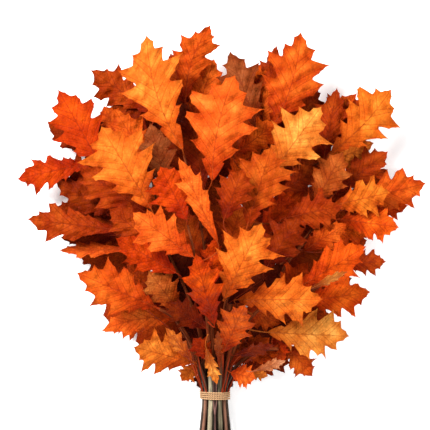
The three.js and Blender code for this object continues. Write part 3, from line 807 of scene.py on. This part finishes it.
def relief(leaf, flat, to_vein, rng):
    """How far each point is over a smooth blade: bulges between veins, a wavy margin, small dents."""
    run, left = flat[:, 0], flat[:, 1]
    bulge = PUCKER * (PUCKER_OVER - np.exp(-((to_vein / PUCKER_REACH) ** 2)))
    phase, turn = rng.uniform(0, 2 * math.pi), rng.uniform(0, math.pi)
    ripple = np.sin(2 * math.pi * run / WAVE_LENGTH + np.sign(left) * turn + phase)
    outer = (np.abs(left) / (leaf.width / 2)) ** 2
    dents = CRUMPLE * waves(flat, rng, *DENT_WAVES)
    return (bulge + WAVE * ripple * outer + dents) * min(1, leaf.width / RELIEF_WIDTH)


def add_leaf(piece, leaf, stalk, rng):
    """A leaf: its blade with two faces and a rim, its petiole and its midrib."""
    leaf.vary(rng)
    flat, faces, to_vein, to_edge = blade_flat(leaf, rng)
    middle = leaf.place(flat[:, 0], flat[:, 1])
    runs = np.linspace(0, MIDRIB_END, MIDRIB_POINTS)[1:] * leaf.length
    on_rib = np.stack([runs, np.zeros(len(runs))], axis=1)
    rib = leaf.place(runs, on_rib[:, 1])
    if not leaf.lies_flat:
        no_distance = on_rib[:, 1]
        height = relief(leaf, np.concatenate([flat, on_rib]),
                        np.concatenate([to_vein, no_distance]), rng)
        middle[:, 2] += height[:len(flat)]
        rib[:, 2] += height[len(flat):]
    half = np.array([0, 0, BLADE_THICKNESS / 2 * math.hypot(1, leaf.slope)])
    count = len(flat)
    shell = [tuple(f) for f in faces] + [tuple(f) for f in faces[:, ::-1] + count]
    shell += [(b, a, a + count, b + count) for a, b in rim_edges(faces)]
    upper = blade_tone(leaf, flat, to_edge, rng)
    tone = np.concatenate([upper, lerp(upper, linear(UNDERSIDE), UNDERSIDE_SHARE)])
    seed = rng.uniform(0, PATTERN_SPAN)
    pattern = np.column_stack([flat, np.full(count, seed)])
    piece.add(np.concatenate([middle + half, middle - half]), shell, tone,
              np.concatenate([pattern, pattern]), np.concatenate([to_vein, to_vein]))
    stalk_tone = lerp(linear(PETIOLE_COLOUR), pigment(TONES[leaf.tone]), PETIOLE_LEAF_SHARE)
    shares = np.linspace(0, 1, len(stalk))
    foot = lerp(PETIOLE_FOOT_RADIUS, PETIOLE_RADIUS, smoothstep(shares, 0, PETIOLE_FOOT_END))
    stalk_radii = lerp(foot, MIDRIB_RADIUS, smoothstep(shares, PETIOLE_THIN_START, 1))
    rib_radii = lerp(MIDRIB_RADIUS, MIDRIB_END_RADIUS, runs / leaf.length)
    radii = np.concatenate([stalk_radii, rib_radii])
    tube(piece, np.concatenate([stalk, rib]), radii, PETIOLE_SIDES, stalk_tone, seed)


# Twigs
TWIG_POINTS = 7
BRANCH_POINTS = 5
TWIG_STEP = 4.0
STALK_RADIUS = 1.1
STALK_END_RADIUS = 0.7
STALK_OVER = 0.4  # levels over its stem
BARK_SIDES = 14
PETIOLE_DETOUR = 1.7  # the less, the more a petiole's direction counts against its length
PETIOLE_LEAST = 5
PETIOLE_PULL = 0.4
TOO_NEAR = 1e6  # cost that rules out a start of a petiole


def slot_of(stem):
    """Where a stem passes through the tie, as x and z from the tie's middle."""
    turn = math.radians(stem["angle"])
    ring = stem.get("inner", TIE_RADIUS - CORD_RADIUS - SEAT_GAP - stem["radius"])
    return ring * math.cos(turn), ring * math.sin(turn)


def twig_lines(stem):
    """The main twig from its cut end through the tie, and the side branches, as lists of points."""
    slot_x, slot_z = slot_of(stem)
    least = BRANCH_RADIUS + TWIG_TABLE_GAP

    def on_shell(path):
        return [np.array([x, y, max(shell_height(stem["level"], x, y), least)]) for x, y in path]

    cut = np.array([CUT_SPREAD * slot_x, CUT_Y, CUT_Z + CUT_SWELL * slot_z])
    below = np.array([slot_x, TIE_Y - STRAIGHT, TIE_Z + slot_z])
    above = np.array([slot_x, TIE_Y + STRAIGHT, TIE_Z + slot_z])
    main, *branches = [on_shell(path) for path in stem["twigs"]]
    trunk = Spline([above, *main]).sample(TWIG_POINTS)
    lines = [[cut, below, *trunk]]
    for first, *rest in branches:
        fork = min(trunk, key=lambda p: np.linalg.norm(p - first))
        lines.append(list(Spline([fork, *rest]).sample(BRANCH_POINTS)))
    return lines


def fine_line(line):
    """A smooth curve through the points of a line, in short steps."""
    length = sum(np.linalg.norm(b - a) for a, b in zip(line, line[1:]))
    return Spline(line).sample(round(length / TWIG_STEP))


def petiole(leaf, lines):
    """The stalk from the twig to the blade: its way is short and runs with the leaf."""
    base = leaf.place(np.zeros(1), np.zeros(1))[0]
    spots = np.concatenate(lines)
    spots = spots[spots[:, 1] > TIE_Y + 2 * STRAIGHT]
    way = base - spots
    size = np.linalg.norm(way, axis=1)
    cost = size * (PETIOLE_DETOUR - way @ leaf.ahead / size)
    cost += np.where(size > PETIOLE_LEAST, 0, TOO_NEAR)
    start = spots[np.argmin(cost)]
    bend = base - leaf.ahead * PETIOLE_PULL * np.linalg.norm(base - start)
    return np.concatenate([[start], arc(start, bend, base, TWIG_STEP)])


def bark_twigs(piece, stem, lines, rng):
    """Bark of its own colour on the bare stem, darkening to brown among the leaves."""
    bare, leafy = BARK_DEPTH * linear(BARKS[stem["bark"]]), linear(TWIG_BROWN)
    for i, line in enumerate(lines):
        far = smoothstep(line[:, 1], TIE_Y + STRAIGHT, TIE_Y + NECK_REACH)
        radii = lerp(stem["radius"], TWIG_END_RADIUS, far) if i == 0 else BRANCH_RADIUS
        brown = smoothstep(line[:, 1], TIE_Y + STRAIGHT, TIE_Y + BROWN_REACH)
        tone = lerp(bare, leafy, brown[:, None])
        # the stems of the bundle get painted shade where they face each other
        tube(piece, line, radii, BARK_SIDES, tone, rng.uniform(0, 2 * math.pi), ridge=BARK_RIDGE,
             end_tone=BARK_DEPTH * linear(CUT_WOOD), outward=unit(np.array(slot_of(stem))))


def thin_stalks(piece, stem, rng):
    """Thin red stalks that fan out of the tie in front of the woody stems."""
    seat = TIE_RADIUS - CORD_RADIUS - SEAT_GAP - STALK_RADIUS
    for angle, *path in stem.get("stalks", []):
        turn = math.radians(angle)
        foot = np.array([seat * math.cos(turn), TIE_Y, TIE_Z + seat * math.sin(turn)])
        rest = [np.array([x, y, shell_height(stem["level"] + STALK_OVER, x, y)]) for x, y in path]
        line = fine_line([foot, *rest])
        radii = lerp(STALK_RADIUS, STALK_END_RADIUS, np.linspace(0, 1, len(line)))
        tube(piece, line, radii, PETIOLE_SIDES, linear(PETIOLE_COLOUR), rng.uniform(0, 2 * math.pi))


# Leaves hidden in the back of the bunch, to the left (1) or right (-1) of a stem and lower than it
UNDER_TONE = "sienna"
UNDER_FIRST = 0.5
UNDER_SPAN = 0.38
UNDER_DROP = 1.4
UNDER_STEP = 0.3
UNDER_SHORTEST = 106
UNDER_LONGEST = 130
UNDER_WIDTH = 0.62
UNDER_TURN = 50
UNDER_TURN_SPREAD = 16
UNDER_PETIOLE = 15


def draws(seed):
    """The frame's own random draws."""
    while True:
        seed = seed * DRAW_FACTOR % DRAW_MODULUS
        yield seed / DRAW_MODULUS


frame_draws = draws(FRAME_SEED)


def understory(stem, lines):
    """The hidden leaves of a stem, drawn as the frame draws them."""
    leaves = []
    sides = stem.get("understory", [])
    curve = Spline(lines[0])
    for i, side in enumerate(sides):
        at, ahead = curve.at_share(UNDER_FIRST + UNDER_SPAN * (i + next(frame_draws)) / len(sides))
        away = math.radians(UNDER_TURN + UNDER_TURN_SPREAD * next(frame_draws))
        turn = math.atan2(ahead[1], ahead[0]) + side * away
        length = lerp(UNDER_SHORTEST, UNDER_LONGEST, next(frame_draws))
        dx, dy = math.cos(turn), math.sin(turn)
        near, far = UNDER_PETIOLE, UNDER_PETIOLE + length
        level = stem["level"] - UNDER_DROP - UNDER_STEP * i
        leaves.append(Leaf(
            UNDER_TONE, level, at[0] + near * dx, at[1] + near * dy,
            at[0] + far * dx, at[1] + far * dy, UNDER_WIDTH * length))
    return leaves


# Materials: scales of textures are per millimetre, and a stretched texture has one for each axis,
# the first along the stem or the cord
NOISE_MIDDLE = (0.3, 0.7)  # where most values of a noise lie
CLOUD_SCALE = 0.07
MOTTLE_SCALE = 0.25
NET_SCALE = 0.28
SPECK_SCALE = 0.5
DEEPER = (0.78, 0.6, 0.45, 1)
LIGHTER = (1.1, 1.16, 1.25, 1)
VEIN_BROWN = (0.5, 0.34, 0.28, 1)
VEIN_EDGE = (0.25, 1.0)  # distances from a vein over which its brown fades
VEIN_BORDER = (0.5, 3.4)  # and the pale border beside it
LEAF_BUMP = 0.8
LEAF_SPECULAR = 0.03
BARK_FIBRES = (0.03, 0.4, 0.4)
BARK_PATCHES = (0.04, 0.12, 0.12)
BARK_PORES = (0.16, 0.5, 0.5)
BARK_BUMP = 0.6
BARK_SPECULAR = 0.03
JUTE_FIBRES = (0.35, 2.5, 2.5)
JUTE_BUMP = 0.3
JUTE_SPECULAR = 0.2
FLOOR_WHITE = (0.95, 0.95, 0.95, 1)
FLOOR_GRAIN = 40.0  # per metre
FLOOR_GLOW = 0.25  # keeps the white table white in the soft shadow of the bunch
FLOOR_SPECULAR = 0.1


class Nodes:
    """Short names for making the nodes of one material."""

    def __init__(self, name):
        self.material = bpy.data.materials.new(name)
        self.material.use_nodes = True
        self.tree = self.material.node_tree
        self.shader = self.tree.nodes["Principled BSDF"]

    def node(self, kind, inputs=None, **settings):
        made = self.tree.nodes.new("ShaderNode" + kind)
        for key, value in settings.items():
            setattr(made, key, value)
        for key, value in (inputs or {}).items():
            self.feed(made.inputs[key], value)
        return made

    def feed(self, socket, value):
        if isinstance(value, bpy.types.NodeSocket):
            self.tree.links.new(value, socket)
        else:
            socket.default_value = value

    def attribute(self, name, output="Vector"):
        return self.node("Attribute", attribute_name=name).outputs[output]

    def scaled(self, vector, scale):
        mapping = self.node("Mapping", {"Vector": vector, "Scale": scale})
        return mapping.outputs["Vector"]

    def noise(self, vector, scale=1.0, detail=3.0, roughness=0.55):
        made = self.node("TexNoise", {
            "Vector": vector, "Scale": scale, "Detail": detail, "Roughness": roughness})
        return made.outputs["Fac"]

    def cells(self, vector, scale=1.0, feature="F1"):
        made = self.node("TexVoronoi", {"Vector": vector, "Scale": scale}, feature=feature)
        return made.outputs["Distance"]

    def ranged(self, value, span, result):
        """A value whose span is stretched to the result, and which is cut off beyond it."""
        inputs = dict(enumerate((value, *span, *result)))
        return self.node("MapRange", inputs, clamp=True).outputs[0]

    def mix(self, factor, a, b, blend="MIX"):
        made = self.node("Mix", {0: factor, 6: a, 7: b}, data_type="RGBA", blend_type=blend)
        return made.outputs[2]

    def math(self, operation, a, b):
        return self.node("Math", {0: a, 1: b}, operation=operation).outputs[0]

    def times(self, colour, value):
        made = self.node("VectorMath", {0: colour, 3: value}, operation="SCALE")
        return made.outputs[0]

    def bump(self, height, strength, distance):
        made = self.node("Bump", {"Height": height, "Strength": strength, "Distance": distance})
        self.feed(self.shader.inputs["Normal"], made.outputs["Normal"])

    def finish(self, colour, roughness, specular):
        self.feed(self.shader.inputs["Base Color"], colour)
        self.feed(self.shader.inputs["Roughness"], roughness)
        self.feed(self.shader.inputs["Specular IOR Level"], specular)
        return self.material


def leaf_material():
    """Clouds and mottling of the leaf's tone, a net of fine veins, brown main veins and dark specks."""
    n = Nodes("oak_leaf")
    tone = n.attribute("tone")
    place = n.attribute("pattern")
    vein = n.attribute("vein", "Fac")
    clouds = n.noise(place, CLOUD_SCALE, detail=4.0)
    mottle = n.noise(place, MOTTLE_SCALE, detail=4.0, roughness=0.65)
    deeper = n.mix(1.0, tone, DEEPER, "MULTIPLY")
    lighter = n.mix(1.0, tone, LIGHTER, "MULTIPLY")
    colour = n.mix(n.ranged(clouds, (0.32, 0.68), (0.0, 1.0)), lighter, deeper)
    colour = n.times(colour, n.ranged(mottle, NOISE_MIDDLE, (0.8, 1.18)))
    net = n.cells(place, NET_SCALE, "DISTANCE_TO_EDGE")
    colour = n.times(colour, n.ranged(net, (0.0, 0.16), (0.86, 1.02)))
    beside = n.ranged(vein, VEIN_BORDER, (0.3, 0.0))
    colour = n.mix(beside, colour, n.times(colour, 1.35))
    on_vein = n.ranged(vein, VEIN_EDGE, (0.6, 0.0))
    colour = n.mix(on_vein, colour, n.mix(1.0, colour, VEIN_BROWN, "MULTIPLY"))
    specks = n.ranged(n.noise(place, SPECK_SCALE, detail=2.0), (0.68, 0.74), (0.0, 0.65))
    colour = n.mix(specks, colour, n.times(colour, 0.4))
    rough = n.ranged(mottle, NOISE_MIDDLE, (0.4, 0.58))
    height = n.math("ADD", n.ranged(net, (0.0, 0.3), (0.0, 1.0)), n.math("MULTIPLY", mottle, 1.2))
    n.bump(height, 0.7, LEAF_BUMP * MM)
    return n.finish(colour, rough, LEAF_SPECULAR)


def bark_material():
    """Dark and light fibres along the stem, with paler patches and pores."""
    n = Nodes("bark")
    tone = n.attribute("tone")
    place = n.attribute("pattern")
    fibres = n.noise(n.scaled(place, BARK_FIBRES), detail=5.0, roughness=0.6)
    patches = n.noise(n.scaled(place, BARK_PATCHES))
    colour = n.times(tone, n.ranged(fibres, (0.35, 0.65), (0.3, 1.6)))
    colour = n.mix(n.ranged(patches, (0.45, 0.65), (0.0, 0.55)), colour, n.times(colour, 1.5))
    pores = n.cells(n.scaled(place, BARK_PORES))
    colour = n.mix(n.ranged(pores, (0.1, 0.2), (0.5, 0.0)), colour, n.times(colour, 2.0))
    n.bump(fibres, 0.6, BARK_BUMP * MM)
    return n.finish(colour, n.ranged(fibres, NOISE_MIDDLE, (0.65, 0.9)), BARK_SPECULAR)


def jute_material():
    """Rough fibres along each ply."""
    n = Nodes("jute")
    tone = n.attribute("tone")
    place = n.attribute("pattern")
    fibres = n.noise(n.scaled(place, JUTE_FIBRES), detail=4.0, roughness=0.6)
    colour = n.times(tone, n.ranged(fibres, NOISE_MIDDLE, (0.6, 1.25)))
    n.bump(fibres, 0.5, JUTE_BUMP * MM)
    return n.finish(colour, n.ranged(fibres, NOISE_MIDDLE, (0.75, 0.95)), JUTE_SPECULAR)


def floor_material():
    """A matt white with a faint grain."""
    n = Nodes("white_table")
    place = n.node("TexCoord").outputs["Object"]
    grain = n.noise(place, FLOOR_GRAIN)
    white = n.node("RGB").outputs[0]
    white.default_value = FLOOR_WHITE
    colour = n.times(white, n.ranged(grain, NOISE_MIDDLE, (0.985, 1.0)))
    n.feed(n.shader.inputs["Emission Color"], colour)
    n.feed(n.shader.inputs["Emission Strength"], FLOOR_GLOW)
    return n.finish(colour, 0.8, FLOOR_SPECULAR)


# The pieces
def place_piece(piece, name, material, nodes):
    """Makes the mesh of a piece, which rides on the one body and takes the place of some nodes."""
    made = piece.make(name, material)
    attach(made, "root")
    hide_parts(*nodes)


def make_stem(stem, leaf_finish, bark_finish, seed):
    """A leafy stem as two pieces, its leaves and its bark."""
    rng = random.Random(seed)
    coarse = twig_lines(stem)
    lines = [fine_line(line) for line in coarse]
    leaves = [Leaf(*row) for row in stem["leaves"]] + understory(stem, coarse)
    leaves += [Leaf(*row) for row in stem.get("fill", [])]
    foliage, wood = Piece(), Piece()
    for leaf in leaves:
        add_leaf(foliage, leaf, petiole(leaf, lines), rng)
    bark_twigs(wood, stem, lines, rng)
    thin_stalks(wood, stem, rng)
    short = stem["name"].removesuffix("_stem")
    place_piece(foliage, short + "_leaves", leaf_finish, [stem["name"]])
    place_piece(wood, short + "_bark", bark_finish, [stem["name"]])


def make_forked_twig(bark_finish):
    """The bare twig on top of the bundle, with two arms from just below the tie."""
    seat = TIE_RADIUS - CORD_RADIUS - SEAT_GAP - FORK_RADIUS
    fork = np.array([0, FORK_Y, TIE_Z + CUT_SWELL * seat])
    cut = np.array([FORK_CUT_X, CUT_Y, CUT_Z + CUT_SWELL * seat])
    lines = [[cut, fork]]
    for side in (1, -1):
        turn = math.radians(90 + side * FORK_TURN)
        x, z = seat * math.cos(turn), TIE_Z + seat * math.sin(turn)
        over = TIE_Y + CORD_TURNS * CORD_PITCH / 2 + FORK_CLEAR
        end = np.array([x, TIE_Y + FORK_REACH, z + FORK_RISE])
        lines.append([fork, np.array([x, TIE_Y - STRAIGHT, z]), np.array([x, over, z]), end])
    wood = Piece()
    tone = BARK_DEPTH * linear(BARKS["plum"])
    for i, line in enumerate(lines):
        # painted shade where the twig faces down into the bundle
        tube(wood, fine_line(line), FORK_RADIUS, FORK_SIDES, tone, FORK_SEED + i,
             ridge=FORK_RIDGE, outward=(0, 1))
    place_piece(wood, "forked_twig_bark", bark_finish, ["forked_twig"])


def make_tie(jute_finish):
    """Two plies twisted together and wound round the bundle."""
    round_length = 2 * math.pi * TIE_RADIUS
    count = round(CORD_TURNS * round_length / TWIST_LENGTH * TWIST_POINTS)
    turns = np.linspace(0, CORD_TURNS, count + 1)
    turn = 2 * math.pi * turns
    none = np.zeros(count + 1)
    y = TIE_Y + CORD_PITCH * (turns - CORD_TURNS / 2)
    out = np.stack([np.cos(turn), none, np.sin(turn)], axis=1)
    middle = TIE_RADIUS * out + np.stack([none, y, np.full(count + 1, TIE_Z)], axis=1)
    beside = np.array([0, 1, 0])
    jute = Piece()
    for ply in (0, 1):
        spin = 2 * math.pi * turns * round_length / TWIST_LENGTH + math.pi * ply
        offset = out * np.cos(spin)[:, None] + beside * np.sin(spin)[:, None]
        line = middle + PLY_OFFSET * offset
        tube(jute, line, PLY_RADIUS, PLY_SIDES, linear(JUTE), PLY_SEED + ply, ridge=PLY_RIDGE)
    place_piece(jute, "twine", jute_finish, ["twine_tie"])


# The stage, in metres and watts. A light has its place, its side and its power, and faces the middle
# of the table.
FLOOR_HALF = 6.0
LIGHTS = {
    "key": ((-1.9, 1.7, 2.6), 1.4, 285),
    "side": ((2.5, 0.6, 2.2), 2.0, 70),
    "front": ((0.3, -2.7, 2.2), 2.2, 70),
}
WORLD_COLOUR = (1, 1, 1, 1)
WORLD_STRENGTH = 0.15


def make_floor():
    half = FLOOR_HALF
    mesh = bpy.data.meshes.new("table_top")
    corners = [(-half, -half, 0), (half, -half, 0), (half, half, 0), (-half, half, 0)]
    mesh.from_pydata(corners, [], [(0, 1, 2, 3)])
    mesh.materials.append(floor_material())
    floor = bpy.data.objects.new("table_top", mesh)
    bpy.context.scene.collection.objects.link(floor)


def make_light(name, place, size, power):
    lamp = bpy.data.lights.new(name, "AREA")
    lamp.size = size
    lamp.energy = power
    made = bpy.data.objects.new(name, lamp)
    made.location = place
    made.rotation_euler = (-made.location).to_track_quat("-Z", "Y").to_euler()
    bpy.context.scene.collection.objects.link(made)


def make_world():
    world = bpy.data.worlds.new("studio")
    world.use_nodes = True
    background = world.node_tree.nodes["Background"]
    background.inputs["Color"].default_value = WORLD_COLOUR
    background.inputs["Strength"].default_value = WORLD_STRENGTH
    bpy.context.scene.world = world
    bpy.context.scene.view_settings.view_transform = "Standard"


def make_camera():
    camera = bpy.data.cameras.new("camera")
    camera.sensor_width = SENSOR
    camera.lens = SENSOR * CAMERA_HEIGHT / VIEW_WIDTH
    camera.clip_end = CLIP_END
    made = bpy.data.objects.new("camera", camera)
    made.location = (0, 0, CAMERA_HEIGHT * MM)
    bpy.context.scene.collection.objects.link(made)
    bpy.context.scene.camera = made


make_floor()
for name, (place, size, power) in LIGHTS.items():
    make_light(name, place, size, power)
make_world()
make_camera()
leaf_finish, bark_finish = leaf_material(), bark_material()
for number, stem in enumerate(STEMS):
    make_stem(stem, leaf_finish, bark_finish, STEM_SEED + number)
make_forked_twig(bark_finish)
make_tie(jute_material())
